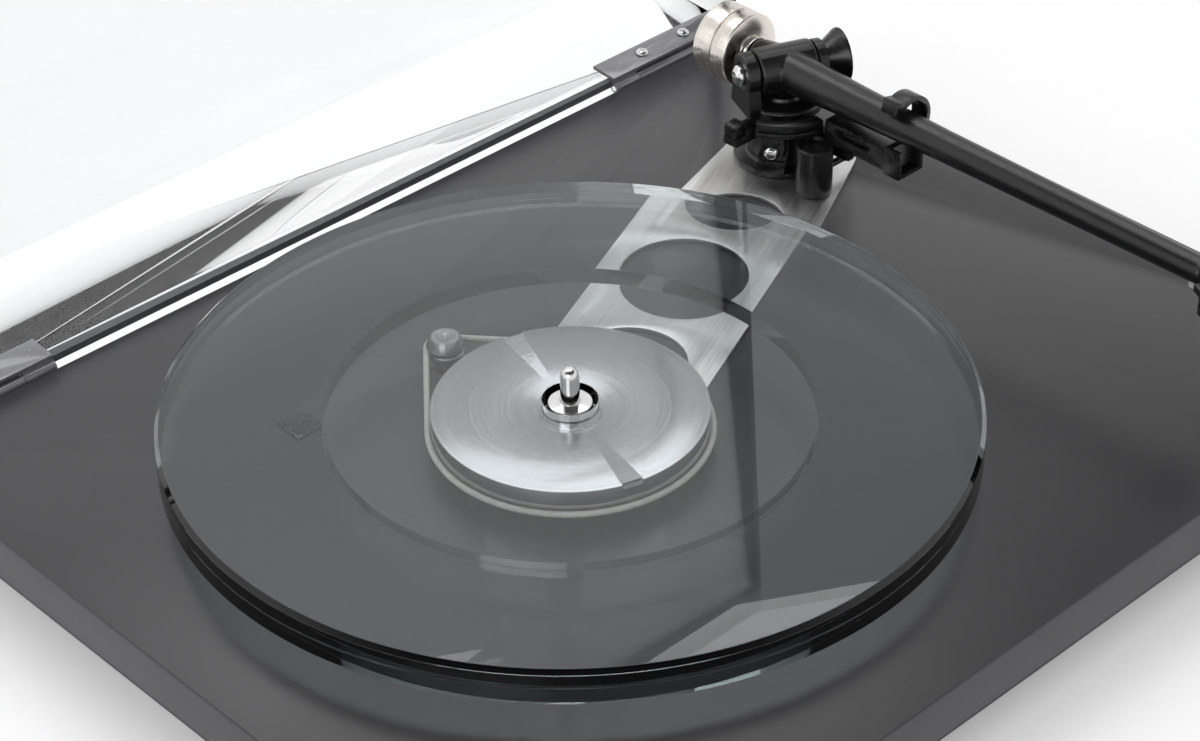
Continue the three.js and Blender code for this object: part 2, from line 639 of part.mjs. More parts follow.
function restClip() {
  const [x, z] = [armX - clip.hingeX, armZ - clip.hingeZ];
  const [from, to] = [-22, 150].map(THREE.MathUtils.degToRad);
  const hoop = [...arcPoints(x, z, clip.outer, from, to, 20), ...arcPoints(x, z, clip.inner, to, from, 20)];
  const catchBlock = [[x - 11, z + 3.6], [x - 7.6, z + 3.6], [x - 6.6, z + 9.6], [x - 11, z + 9.6]];
  const upright = (points) => prism(points, -clip.y1, -clip.y0).rotateX(Math.PI / 2);
  const eye = throughWall(2.4, clip.y0, clip.y1, 0, 0, 24);
  const pinHole = throughWall(clip.pin + 0.1, clip.y0 - 1, clip.y1 + 1, 0, 0);
  return cut(join(upright(hoop), upright(catchBlock), eye), pinHole);
}
add('rest_clip', restClip(), 'blackPlastic', clipGroup);

// ---- anti-skate housing, its screw and slider ---------------------------------------------------
const bias = { turn: THREE.MathUtils.degToRad(-146), reach: 24, half: 5.5, bottom: 6.5, top: yokeBottom - 2.1 };
const rail = { reach: 31, half: 3.6, bottom: yokeBottom - 6.9, top: yokeBottom - 3.3 };
const slider = { inner: 24.4, outer: 31, half: 3.6, height: 5.4 };

function biasHousing() {
  const body = block(pillarRadius - 4, bias.reach, -bias.half, bias.half, bias.bottom + 6, bias.top);
  const foot = block(pillarRadius - 4, bias.reach + 1.6, -bias.half, bias.half, bias.bottom, bias.bottom + 7);
  const waist = [-1, 1].map((side) => rod(4, 0, 40, 24).translate(bias.reach - 2, side * (bias.half + 2.6), 0));
  const bracket = cut(join(body, foot), ...waist.map((tool) => tool.scale(1, 1, 0.25)
    .translate(0, 0, bias.bottom + 9))).rotateZ(bias.turn);
  const arm = block(-rail.reach, -pillarRadius + 4, -rail.half, rail.half, rail.bottom, rail.top);
  const web = rod(pillarRadius + 5, rail.bottom, rail.top);
  const pillarHole = rod(pillarRadius + gap, 0, 40);
  const rearHalf = block(-40, 40, 6, 40, 0, 40);
  const rightHalf = block(bar.root - armX - gap, 40, -40, 40, 0, 40);
  return cut(join(bracket, arm, web), pillarHole, rearHalf, rightHalf, biasScrewHole())
    .translate(armX, armY, 0);
}

function biasScrewHole() {
  return rod(1.5 + screwGap, 18, 30, 20).rotateY(Math.PI / 2).translate(0, 0, bias.bottom + 10.4)
    .rotateZ(bias.turn);
}
add('bias_housing', biasHousing(), 'blackPlastic');
add('bias_screw', atArm(turned([[0, 18.5], [1.5, 18.5], [1.5, bias.reach + gap], [3.1, bias.reach + gap],
  [3.1, bias.reach + gap + 0.8], [1.9, bias.reach + gap + 1.9], [0, bias.reach + gap + 2.2]], 24)
  .rotateY(Math.PI / 2).translate(0, 0, bias.bottom + 10.4).rotateZ(bias.turn)), 'polished');
add('bias_slider', atArm(block(-slider.outer, -slider.inner, -slider.half, slider.half, rail.top + gap,
  rail.top + gap + slider.height)), 'blackPlastic');

// ---- yoke and tilt bearing ----------------------------------------------------------------------
const innerFace = bossHalf + 0.6;

function ear(from, to) {
  const low = yokeBottom + 1 - armZ;
  const flank = 10;
  const outline = [[-low, -flank], [-low - 4, -flank],
    ...arcPoints(0, 0, earRadius, Math.PI * 1.62, Math.PI * 0.38, 14), [-low - 4, flank], [-low, flank]];
  return onBearing(prism(outline, from, to));
}

function yoke() {
  const base = atArm(turned([[0, yokeBottom], [yokeRadius - 0.8, yokeBottom], [yokeRadius, yokeBottom + 0.8],
    [yokeRadius, yokeBottom + 4.2], [yokeRadius - 0.8, yokeBottom + 5], [9, yokeBottom + 5],
    [8, yokeBottom + 6.9], [0, yokeBottom + 6.9]]));
  const ears = [ear(-innerFace - earThickness, -innerFace), ear(innerFace, innerFace + rightEar)];
  const pivotHole = atArm(rod(pivotRadius + runningGap, yokeBottom - 1, pivotTop + 0.2, 28));
  const bearingHole = onBearing(rod(2 + runningGap, -40, 40, 24));
  const boltSeat = onBearing(rod(5.4, -40, -innerFace - earThickness + 1, 24));
  return cut(join(base, ...ears), pivotHole, bearingHole, boltSeat);
}
add('yoke', yoke(), 'blackMetal');

const pinEnd = 28.6;
add('bearing_bolt', onBearing(turned([
  [0, -innerFace - earThickness - 3.4], [2.6, -innerFace - earThickness - 3.2],
  [4.6, -innerFace - earThickness - 1.6], [4.6, -innerFace - earThickness + 1 - gap],
  [2, -innerFace - earThickness + 1 - gap], [2, pinEnd - 1.9], [4, pinEnd - 1.9], [4, pinEnd - 0.5],
  [3.5, pinEnd], [0, pinEnd],
], 24)), 'polished');

const dialFace = innerFace + rightEar + gap;
add('force_dial', onBearing(turned([
  [2 + runningGap, dialFace], [7.5, dialFace], [8, dialFace + 2], [11.4, dialFace + 7],
  [12, dialFace + 8], [12, dialFace + 8.8], [2 + runningGap, dialFace + 8.8], [2 + runningGap, dialFace],
])), 'blackPlastic');

// ---- arm tube, headshell and cartridge ----------------------------------------------------------
const headY = armY - tubeLength - 1.5;
const shellThickness = 3.5;
const shellBottom = armZ - 2;
const shellWidth = 19;
const wireExitBack = 6;       // behind the headshell's root
const headBack = 9;           // the headshell is drawn this far ahead of where it stands

// Places a piece that is drawn along -Y from the headshell's root onto the offset headshell.
function onHead(geometry) {
  return geometry.translate(0, headBack, 0).rotateZ(-offsetAngle).translate(armX, headY, 0);
}

function fingerLift() {
  const curve = new THREE.CatmullRomCurve3([[8, -30, 0], [15, -31, 0.3], [20, -32.4, 1.8], [24, -34, 4.6]]
    .map(([x, y, z]) => new THREE.Vector3(x, y, shellBottom + 1.6 + z)));
  const section = new THREE.Shape(arcPoints(0, 0, 1, 0, Math.PI * 2, 10).slice(0, -1)
    .map(([x, y]) => new THREE.Vector2(x, y * 1.6)));
  return new THREE.ExtrudeGeometry(section, { steps: 10, extrudePath: curve, bevelEnabled: false });
}
function armTube() {
  const taper = [[-tubeLength, 4.9], [-tubeLength + 1, 5.4], [-156, 5.8], [-88, 6.4], [-66, 6.9], [-43, 7.5],
    [-14, 8.6], [4, 8.8], [13, 7.4], [15, 6.6]].map(([along, radius]) => [radius, along]);
  const tube = alongArm(turned([[0, -tubeLength], ...taper, [0, 15]], 24));
  const boss = onBearing(turned([[0, -bossHalf], [bossRadius - 0.8, -bossHalf], [bossRadius, -bossHalf + 0.8],
    [bossRadius, bossHalf - 0.8], [bossRadius - 0.8, bossHalf], [0, bossHalf]], 24));
  const plate = onHead(block(-shellWidth / 2, shellWidth / 2, -42, -14, shellBottom, shellBottom + shellThickness));
  const neck = onHead(block(-4.5, 4.5, -16.5, -3, shellBottom - 1, shellBottom + 6.4));
  const hollow = alongArm(rod(4.2, -tubeLength + 4, -20, 24));
  const wireExit = rod(2.6, armZ - 8, armZ, 20).translate(armX, headY + wireExitBack, 0);
  const bearingHole = onBearing(rod(2 + runningGap, -40, 40, 24));
  const stubHole = alongArm(rod(stubRadius - 1 + screwGap, 6, 20, 24));
  const slots = [-1, 1].map((side) => onHead(block(side * 6.35 - 1.4, side * 6.35 + 1.4, -34, -22,
    shellBottom - 1, shellBottom + shellThickness + 1)));
  return cut(join(tube, boss, plate, neck, onHead(fingerLift())), hollow, wireExit, bearingHole, stubHole, ...slots);
}
add('arm_tube', armTube(), 'blackMetal');

const weightFront = 19.2;     // from the arm's upright axis to the counterweight's disc
add('arm_stub', alongArm(turned([
  [0, 7], [stubRadius - 1, 7], [stubRadius - 1, 15 + gap], [7.2, 15 + gap], [7.2, 16.8],
  [6.6, weightFront - 1.5 - gap], [stubRadius, weightFront - 1.5 - gap], [stubRadius, stubLength - 0.6], [stubRadius - 0.6, stubLength], [0, stubLength],
], 24)), 'polished');
function counterweight() {
  const hole = stubRadius + runningGap;
  const back = weightFront + counterweightLength;
  const groove = weightFront + counterweightLength * 0.42;
  const edge = counterweightRadius;
  return alongArm(turned([
    [hole, weightFront - 1.5], [9, weightFront - 1.5], [edge - 0.6, weightFront], [edge, weightFront + 0.6], [edge, groove], [edge - 0.8, groove], [edge - 0.8, groove + 0.8],
    [edge, groove + 0.8], [edge, back - 0.6], [edge - 0.6, back], [hole, back], [hole, weightFront - 1.5],
  ], 32));
}
add('counterweight', counterweight(), 'steel');

const cartTop = shellBottom - gap;
function cartridge() {
  const body = block(-8.4, 8.4, -38, -17, cartTop - 8, cartTop);
  const nose = block(-5.5, 5.5, -37, -20, cartTop - 11.4, cartTop - 7);
  const pinHoles = [-1, 1].map((side) => rod(1.3, cartTop - 6, cartTop + 1, 16)
    .translate(side * 6.35, -28, 0));
  const pins = [-1, 1].flatMap((side) => [-1, 1].map((level) => throughWall(0.6, -17.5, -13, side * 3,
    cartTop - 4 + level * 1.6, 10)));
  return cut(join(body, nose, ...pins), ...pinHoles);
}
add('cartridge', onHead(cartridge()), 'blackPlastic');
function cartridgeScrew(x) {
  const seat = shellBottom + shellThickness + gap;
  return turned([[0, cartTop - 5.5], [1.1, cartTop - 5.5], [1.1, seat], [2.2, seat], [2.2, seat + 1.5],
    [0, seat + 1.5]], 20).translate(x, -28, 0);
}
add('cartridge_screw_left', onHead(cartridgeScrew(-6.35)), 'polished');
add('cartridge_screw_right', onHead(cartridgeScrew(6.35)), 'polished');

const tipHeight = platterTop + 2.6;
const stylusTop = cartTop - 11.4 - gap;
add('stylus', onHead(join(
  block(-3, 3, -36, -27, stylusTop - 1.8, stylusTop),
  turned([[0, tipHeight], [0.35, tipHeight + 0.6], [0.5, stylusTop - 1], [0, stylusTop - 1]], 12)
    .translate(0, -32, 0),
)), 'greyPlastic');

function headWires() {
  const wireZ = armZ - 6.8;
  const exitX = -wireExitBack * Math.sin(offsetAngle);
  const exitY = wireExitBack * Math.cos(offsetAngle) - headBack;
  const wires = [-1, 1].flatMap((side) => [-1, 1].map((level) => {
    const pinZ = cartTop - 4 + level * 1.6;
    const curve = new THREE.CatmullRomCurve3([
      [side * 3, -12.6, pinZ], [side * 3, -10.5, pinZ], [side * 2 + level * 0.5, -7, wireZ + level * 0.3],
      [exitX + side * 0.7, exitY, wireZ + level * 0.3],
    ].map(([x, y, z]) => new THREE.Vector3(x, y, z)));
    const section = new THREE.Shape(arcPoints(0, 0, 0.45, 0, Math.PI * 2, 6).slice(0, -1)
      .map(([x, y]) => new THREE.Vector2(x, y)));
    return new THREE.ExtrudeGeometry(section, { steps: 7, extrudePath: curve, bevelEnabled: false });
  }));
  const grommet = rod(2.2, wireZ - 0.8, armZ - 4.4, 20).translate(exitX, exitY, 0);
  return join(grommet, ...wires);
}
add('head_wires', onHead(headWires()), 'belt');

// ---- origin at the bottom centre of the whole ---------------------------------------------------
group.updateMatrixWorld(true);
const bounds = new THREE.Box3().setFromObject(group, true);
const centre = bounds.getCenter(new THREE.Vector3());
group.position.set(-centre.x, -centre.y, -bounds.min.z);
group.updateMatrixWorld(true);

export default group;
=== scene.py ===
# Looks for a belt-driven record player: glass platter, thin plinth, pivoted tonearm, clear lid.
import json
import math

import bmesh
import bpy
from mathutils import Euler, Matrix, Vector

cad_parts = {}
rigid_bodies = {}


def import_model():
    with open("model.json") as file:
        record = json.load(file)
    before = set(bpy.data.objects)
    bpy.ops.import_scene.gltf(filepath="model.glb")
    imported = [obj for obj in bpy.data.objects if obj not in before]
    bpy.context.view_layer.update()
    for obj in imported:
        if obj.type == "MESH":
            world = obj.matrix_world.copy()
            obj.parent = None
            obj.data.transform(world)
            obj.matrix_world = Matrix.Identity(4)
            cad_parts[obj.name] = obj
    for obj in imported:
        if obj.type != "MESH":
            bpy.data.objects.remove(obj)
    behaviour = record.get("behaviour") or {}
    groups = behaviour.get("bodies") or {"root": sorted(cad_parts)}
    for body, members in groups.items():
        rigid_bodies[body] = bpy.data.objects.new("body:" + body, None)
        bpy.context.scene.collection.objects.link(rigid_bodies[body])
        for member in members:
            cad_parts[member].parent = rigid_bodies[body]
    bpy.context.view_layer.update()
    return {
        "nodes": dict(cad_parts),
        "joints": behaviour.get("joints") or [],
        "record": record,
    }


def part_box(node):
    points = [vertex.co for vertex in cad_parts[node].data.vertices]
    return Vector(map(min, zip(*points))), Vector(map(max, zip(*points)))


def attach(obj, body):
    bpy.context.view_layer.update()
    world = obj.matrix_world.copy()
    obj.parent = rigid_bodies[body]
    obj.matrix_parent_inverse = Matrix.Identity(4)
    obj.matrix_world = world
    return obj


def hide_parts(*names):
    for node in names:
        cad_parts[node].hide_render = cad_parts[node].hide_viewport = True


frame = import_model()
print("frame loaded:", len(frame["nodes"]), "nodes")

mm = 0.001
joints = {joint["name"]: joint for joint in frame["joints"]}
spindle = Vector(joints["platter_spin"]["pos_m"])   # on the plinth's top face
motor = Vector(joints["pulley_spin"]["pos_m"])
armPivot = Vector(joints["arm_tilt"]["pos_m"])      # where the arm's two axes cross
up = Vector((0, 0, 1))
rearward = Vector((0, 1, 0))


# ---- camera and studio ----

camera = {
    "offset": (-603.7, -660.5, 673.8),   # mm from the spindle at the plinth's top
    "heading": 46.87, "tilt": -35.44, "roll": -0.88,   # degrees
    "lens": 91.65, "sensor": 36,
}
cameraData = bpy.data.cameras.new("camera")
cameraData.sensor_fit = "HORIZONTAL"
cameraData.sensor_width = camera["sensor"]
cameraData.lens = camera["lens"]
cameraData.clip_start = 0.05
cameraObject = bpy.data.objects.new("camera", cameraData)
aim = Euler((math.radians(90 + camera["tilt"]), 0, math.radians(camera["heading"] - 90))).to_matrix()
aim = aim @ Matrix.Rotation(math.radians(camera["roll"]), 3, "Z")
cameraObject.matrix_world = Matrix.Translation(spindle + Vector(camera["offset"]) * mm) @ aim.to_4x4()
bpy.context.scene.collection.objects.link(cameraObject)
bpy.context.scene.camera = cameraObject

bpy.context.scene.view_settings.view_transform = "Standard"


def addNode(tree, kind, inputs=None, **settings):
    node = tree.nodes.new(kind)
    for key, value in settings.items():
        setattr(node, key, value)
    for key, value in (inputs or {}).items():
        socket = node.inputs[key]
        if isinstance(value, bpy.types.NodeSocket):
            tree.links.new(value, socket)
        else:
            socket.default_value = value
    return node


def linear(hexColour):
    channels = [int(hexColour[i:i + 2], 16) / 255 for i in (1, 3, 5)]
    return [c / 12.92 if c <= 0.04045 else ((c + 0.055) / 1.055) ** 2.4 for c in channels] + [1]


def makeWorld():
    world = bpy.data.worlds.new("studio")
    bpy.context.scene.world = world
    world.use_nodes = True
    tree = world.node_tree
    tree.nodes.clear()
    path = addNode(tree, "ShaderNodeLightPath")
    seen = addNode(tree, "ShaderNodeMath", {0: path.outputs["Is Camera Ray"],
                                            1: path.outputs["Is Transmission Ray"]}, operation="MAXIMUM")
    # Glossy rays see a white backdrop all round, up to head height, under a dim ceiling.
    direction = addNode(tree, "ShaderNodeTexCoord")
    height = addNode(tree, "ShaderNodeSeparateXYZ", {0: direction.outputs["Generated"]})
    room = addNode(tree, "ShaderNodeMapRange", {"Value": height.outputs["Z"], "From Min": 0.46,
                                                "From Max": 0.72, "To Min": 0.95, "To Max": 0.1},
                   interpolation_type="SMOOTHSTEP")
    glossy = addNode(tree, "ShaderNodeMix", {"Factor": path.outputs["Is Glossy Ray"], "A": 0.6,
                                             "B": room.outputs["Result"]}, data_type="FLOAT")
    level = addNode(tree, "ShaderNodeMix", {"Factor": seen.outputs[0], "A": glossy.outputs[0], "B": 1.0},
                    data_type="FLOAT")
    back = addNode(tree, "ShaderNodeBackground", {"Color": linear("#fafafa"), "Strength": level.outputs[0]})
    addNode(tree, "ShaderNodeOutputWorld", {"Surface": back.outputs[0]})


def softbox(name, place, target, size, power):
    data = bpy.data.lights.new(name, "AREA")
    data.shape = "RECTANGLE"
    data.size, data.size_y = size
    data.energy = power
    lamp = bpy.data.objects.new(name, data)
    lamp.location = spindle + Vector(place)
    lamp.rotation_euler = (spindle + Vector(target) - lamp.location).to_track_quat("-Z", "Y").to_euler()
    bpy.context.scene.collection.objects.link(lamp)


makeWorld()
softbox("overhead", (0.5, 0.7, 1.5), (0.1, 0.0, 0), (1.4, 1.0), 9)
softbox("front_left", (-1.3, -0.6, 0.7), (0, 0, 0), (0.9, 0.9), 6)


# ---- materials ----

def shader(name):
    material = bpy.data.materials.new(name)
    material.use_nodes = True
    tree = material.node_tree
    tree.nodes.clear()
    principled = addNode(tree, "ShaderNodeBsdfPrincipled")
    addNode(tree, "ShaderNodeOutputMaterial", {"Surface": principled.outputs[0]})
    return material, tree, principled


def setSockets(principled, **values):
    names = {"roughness": "Roughness", "metallic": "Metallic", "ior": "IOR", "coat": "Coat Weight",
             "coatRoughness": "Coat Roughness", "transmission": "Transmission Weight",
             "specular": "Specular IOR Level", "colour": "Base Color",
             "subsurface": "Subsurface Weight"}
    for key, value in values.items():
        principled.inputs[names[key]].default_value = value


def grain(tree, sizeMm, stretch=(1, 1, 1), turn=0.0, detail=3.0):
    # Noise whose cell is about sizeMm across; stretch draws it out into streaks.
    place = addNode(tree, "ShaderNodeTexCoord")
    mapping = addNode(tree, "ShaderNodeMapping", {"Vector": place.outputs["Object"],
                                                  "Rotation": (0, 0, turn), "Scale": stretch},
                      vector_type="TEXTURE")
    return addNode(tree, "ShaderNodeTexNoise", {"Vector": mapping.outputs[0], "Scale": 1 / (sizeMm * mm),
                                                "Detail": detail})


def vary(tree, principled, noise, dark, light, low=0.3, high=0.7):
    ramp = addNode(tree, "ShaderNodeMapRange", {"Value": noise.outputs["Fac"], "From Min": low,
                                                "From Max": high})
    mix = addNode(tree, "ShaderNodeMix", {"Factor": ramp.outputs[0], "A": linear(dark), "B": linear(light)},
                  data_type="RGBA")
    tree.links.new(mix.outputs["Result"], principled.inputs["Base Color"])


def roughen(tree, principled, noise, low, high):
    ramp = addNode(tree, "ShaderNodeMapRange", {"Value": noise.outputs["Fac"], "From Min": 0.3,
                                                "From Max": 0.7, "To Min": low, "To Max": high})
    tree.links.new(ramp.outputs[0], principled.inputs["Roughness"])


def bump(tree, principled, noise, depthMm, strength=1.0):
    node = addNode(tree, "ShaderNodeBump", {"Height": noise.outputs["Fac"], "Strength": strength,
                                            "Distance": depthMm * mm})
    tree.links.new(node.outputs[0], principled.inputs["Normal"])


def pressedLaminate():
    # Melamine laminate pressed on a matt plate: fine even grain, satin, no direction.
    material, tree, principled = shader("laminate melamine pressed")
    vary(tree, principled, grain(tree, 60, detail=2), "#343436", "#38383a")
    roughen(tree, principled, grain(tree, 1.2), 0.29, 0.35)
    bump(tree, principled, grain(tree, 0.7, detail=2), 0.012)
    setSockets(principled, ior=1.5, specular=0.5)
    return material


def edgeBand():
    # Melamine edging, glued on: a little lighter and flatter than the faces, with no direction.
    material, tree, principled = shader("edge band melamine glued")
    vary(tree, principled, grain(tree, 30, detail=2), "#464648", "#4b4b4d")
    roughen(tree, principled, grain(tree, 1.0), 0.42, 0.5)
    bump(tree, principled, grain(tree, 0.8, detail=2), 0.012)
    return material


def particleCore():
    # Pressed wood chips, 1 to 3 mm, seen only in the cut pockets.
    material, tree, principled = shader("particle board pressed")
    vary(tree, principled, grain(tree, 2.2, detail=5), "#7d6846", "#b59a6d")
    bump(tree, principled, grain(tree, 1.6, detail=5), 0.15)
    setSockets(principled, roughness=0.9)
    return material


def brushedAluminium():
    # Sheet aluminium brushed along its length: long fine streaks, drawn at 0.5 mm so that they show.
    material, tree, principled = shader("aluminium sheet brushed")
    turn = math.atan2(armPivot.y - spindle.y, armPivot.x - spindle.x)
    streaks = grain(tree, 0.5, stretch=(60, 1, 1), turn=turn, detail=4)
    vary(tree, principled, streaks, "#d6d6d6", "#e8e8e7")
    roughen(tree, principled, streaks, 0.30, 0.42)
    bump(tree, principled, streaks, 0.006)
    setSockets(principled, metallic=1.0)
    return material


def turnedMetal(name, dark, light, centre, axis, pitchMm, low, high, depthMm):
    # Lathe-turned metal: concentric tool marks about its own axis.
    material, tree, principled = shader(name)
    place = addNode(tree, "ShaderNodeTexCoord")
    moved = addNode(tree, "ShaderNodeVectorMath", {0: place.outputs["Object"], 1: centre},
                    operation="SUBTRACT")
    along = addNode(tree, "ShaderNodeVectorMath", {0: moved.outputs[0], 1: axis}, operation="PROJECT")
    across = addNode(tree, "ShaderNodeVectorMath", {0: moved.outputs[0], 1: along.outputs[0]},
                     operation="SUBTRACT")
    radius = addNode(tree, "ShaderNodeVectorMath", {0: across.outputs[0]}, operation="LENGTH")
    length = addNode(tree, "ShaderNodeVectorMath", {0: moved.outputs[0], 1: axis}, operation="DOT_PRODUCT")
    rings = addNode(tree, "ShaderNodeCombineXYZ", {"X": radius.outputs["Value"],
                                                   "Y": length.outputs["Value"]})
    noise = addNode(tree, "ShaderNodeTexNoise", {"Vector": rings.outputs[0], "Scale": 1 / (pitchMm * mm),
                                                 "Detail": 2.0})
    vary(tree, principled, noise, dark, light)
    roughen(tree, principled, noise, low, high)
    bump(tree, principled, noise, depthMm)
    setSockets(principled, metallic=1.0)
    return material


def polishedSteel():
    # Hardened steel, ground and polished: near-mirror with faint smears.
    material, tree, principled = shader("steel ground polished")
    vary(tree, principled, grain(tree, 4), "#dededd", "#e8e8e7")
    roughen(tree, principled, grain(tree, 3), 0.07, 0.14)
    setSockets(principled, metallic=1.0)
    return material


def castBlack():
    # Aluminium casting under a fine satin black powder coat.
    material, tree, principled = shader("aluminium cast black powder coated")
    vary(tree, principled, grain(tree, 1.5), "#0f0f10", "#161617")
    roughen(tree, principled, grain(tree, 0.8), 0.27, 0.34)
    bump(tree, principled, grain(tree, 0.35, detail=2), 0.006)
    setSockets(principled, ior=1.55)
    return material


def mouldedBlack():
    # Glass-filled nylon, injection moulded with a lightly polished tool.
    material, tree, principled = shader("nylon injection moulded black")
    vary(tree, principled, grain(tree, 5), "#0b0b0c", "#121213")
    roughen(tree, principled, grain(tree, 2.5), 0.24, 0.34)
    bump(tree, principled, grain(tree, 0.9, detail=2), 0.008)
    setSockets(principled, ior=1.53)
    return material


def floatGlass():
    # Polished float glass: clear through its face, faintly green along its edges.
    # The tint lies in the depth of the glass, so it darkens the rim far more than the faces.
    material, tree, principled = shader("float glass polished")
    setSockets(principled, colour=linear("#fbfcfc"), roughness=0.0, ior=1.52, transmission=1.0)
    tint = addNode(tree, "ShaderNodeVolumeAbsorption", {"Color": linear("#8f9c9e"), "Density": 38.0})
    tree.links.new(tint.outputs[0], tree.nodes["Material Output"].inputs["Volume"])
    return material


def acrylicEdgePaintedShade():
    # Opaque smoke grey on the clear sheet's sawn edges and rounded corners: painted shade for the dark lines
    # that light running away inside the sheet leaves there.
    material, tree, principled = shader("acrylic sheet edge painted shade")
    vary(tree, principled, grain(tree, 8), "#4a4c4e", "#525456")
    roughen(tree, principled, grain(tree, 2), 0.3, 0.4)
    setSockets(principled, ior=1.49)
    return material


def castAcrylic():
    # Cast acrylic sheet: water clear, mirror smooth.
    material, tree, principled = shader("acrylic sheet cast")
    setSockets(principled, colour=linear("#fbfcfc"), roughness=0.0, ior=1.49, transmission=1.0)
    return material


def mouldedRubber():
    material, tree, principled = shader("rubber compression moulded")
    vary(tree, principled, grain(tree, 3), "#19191a", "#232324")
    bump(tree, principled, grain(tree, 0.6), 0.03)
    setSockets(principled, roughness=0.8)
    return material


def beltRubber():
    # Pale ground silicone cord with a dusty bloom.
    material, tree, principled = shader("silicone cord ground")
    vary(tree, principled, grain(tree, 6), "#b9b8b0", "#cdccc5")
    bump(tree, principled, grain(tree, 0.5), 0.01)
    setSockets(principled, roughness=0.5, ior=1.43, subsurface=0.1)
    return material


def circuitBoard():
    material, tree, principled = shader("epoxy glass board solder masked")
    vary(tree, principled, grain(tree, 6), "#1c4a2b", "#28603a")
    setSockets(principled, roughness=0.35, coat=0.4)
    return material


def greyEnamel():
    # Zinc die casting with a glossy grey paint that holds a little metal flake.
    material, tree, principled = shader("zinc die cast grey enamelled")
    vary(tree, principled, grain(tree, 0.4), "#747478", "#828286")
    roughen(tree, principled, grain(tree, 6), 0.2, 0.28)
    setSockets(principled, coat=0.6, coatRoughness=0.08, metallic=0.35)
    return material


def wireSleeve(name, dark, light):
    material, tree, principled = shader(name)
    vary(tree, principled, grain(tree, 1.5), dark, light)
    setSockets(principled, roughness=0.4)
    return material


zAxis = (0.0, 0.0, 1.0)
finishes = {
    "laminate": pressedLaminate(),
    "edge": edgeBand(),
    "core": particleCore(),
    "brushed": brushedAluminium(),
    "machined": turnedMetal("aluminium turned satin", "#b4b4b6", "#bebec1", spindle, zAxis, 0.6,
                            0.16, 0.22, 0.001),
    "polished": polishedSteel(),
    "steel": turnedMetal("stainless steel turned", "#dcd5cc", "#ece6df", armPivot, (0.0, 1.0, 0.0), 0.35,
                         0.18, 0.3, 0.006),
    "pulley": turnedMetal("aluminium turned bright", "#98989a", "#a6a6a8", motor, zAxis, 0.35,
                          0.2, 0.28, 0.004),
    "brass": turnedMetal("brass turned", "#a5823f", "#bd9850", spindle, zAxis, 0.4, 0.2, 0.32, 0.006),
    "black_metal": castBlack(),
    "black_plastic": mouldedBlack(),
    "glass": floatGlass(),
    "acrylic": castAcrylic(),
    "rubber": mouldedRubber(),
    "belt": beltRubber(),
    "board": circuitBoard(),
    "grey_plastic": greyEnamel(),
}
slotOf = {part["node"]: part["material_slot"] for part in frame["record"]["subparts"]}
bodyOf = {node: body for body, nodes in frame["record"]["behaviour"]["bodies"].items() for node in nodes}
print("materials:", len(finishes))


# ---- modelling helpers ----

def piece(name, bm, node, material=None, extra=(), smoothAngle=32):
    # A finished piece stands for its CAD node, on that node's body.
    mesh = bpy.data.meshes.new(name)
    bm.to_mesh(mesh)
    bm.free()
    mesh.shade_smooth()
    mesh.set_sharp_from_angle(angle=math.radians(smoothAngle))
    obj = bpy.data.objects.new(name, mesh)
    bpy.context.scene.collection.objects.link(obj)
    obj.data.materials.append(material or finishes[slotOf[node]])
    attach(obj, bodyOf[node])
    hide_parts(node, *extra)
    return obj


def rounded(bm, width, segments=2, angle=28):
    edges = [e for e in bm.edges if len(e.link_faces) == 2 and e.calc_face_angle() > math.radians(angle)]
    bmesh.ops.bevel(bm, geom=edges, offset=width * mm, offset_type="OFFSET", segments=segments, profile=0.5,
                    affect="EDGES", clamp_overlap=True, material=-1)


def spun(profile, steps=96, bevel=0.0, segments=2, closed=False):
    bm = bmesh.new()
    verts = [bm.verts.new((radius * mm, 0, height * mm)) for radius, height in profile]
    pairs = list(zip(verts, verts[1:])) + ([(verts[-1], verts[0])] if closed else [])
    edges = [bm.edges.new(pair) for pair in pairs]
    bmesh.ops.spin(bm, geom=verts + edges, cent=(0, 0, 0), axis=(0, 0, 1), angle=math.tau, steps=steps,
                   use_merge=True, use_duplicate=False)
    bmesh.ops.remove_doubles(bm, verts=bm.verts, dist=1e-6)
    bmesh.ops.dissolve_degenerate(bm, edges=bm.edges, dist=1e-7)
    bmesh.ops.recalc_face_normals(bm, faces=bm.faces)
    if bevel:
        rounded(bm, bevel, segments)
    return bm


def placed(bm, origin, direction=up):
    turn = direction.to_track_quat("Z", "Y").to_matrix().to_4x4()
    bmesh.ops.transform(bm, matrix=Matrix.Translation(origin) @ turn, verts=bm.verts)
    return bm


def copied(node, bevel=0.0, segments=2, angle=28):
    # A CAD node's mesh, merged and with its flat facets joined, ready for rounding.
    bm = bmesh.new()
    bm.from_mesh(frame["nodes"][node].data)
    bmesh.ops.remove_doubles(bm, verts=bm.verts, dist=2e-6)
    bmesh.ops.dissolve_limit(bm, angle_limit=math.radians(0.5), verts=bm.verts, edges=bm.edges)
    if bevel:
        rounded(bm, bevel, segments, angle)
    return bm


def carved(bm, tool):
    # Cuts one closed shape out of another.
    holders = []
    for name, part in (("scratch_body", bm), ("scratch_tool", tool)):
        mesh = bpy.data.meshes.new(name)
        part.to_mesh(mesh)
        part.free()
        holders.append(bpy.data.objects.new(name, mesh))
        bpy.context.scene.collection.objects.link(holders[-1])
    cut = holders[0].modifiers.new("cut", "BOOLEAN")
    cut.operation, cut.solver, cut.object = "DIFFERENCE", "EXACT", holders[1]
    left = bmesh.new()
    left.from_mesh(holders[0].evaluated_get(bpy.context.evaluated_depsgraph_get()).to_mesh())
    for holder in holders:
        bpy.data.objects.remove(holder)
    return left


def softened(node, bevel, segments=2, angle=28):
    return piece(node + "_skin", copied(node, bevel, segments, angle), node)


# ---- plinth and what is fixed to it ----

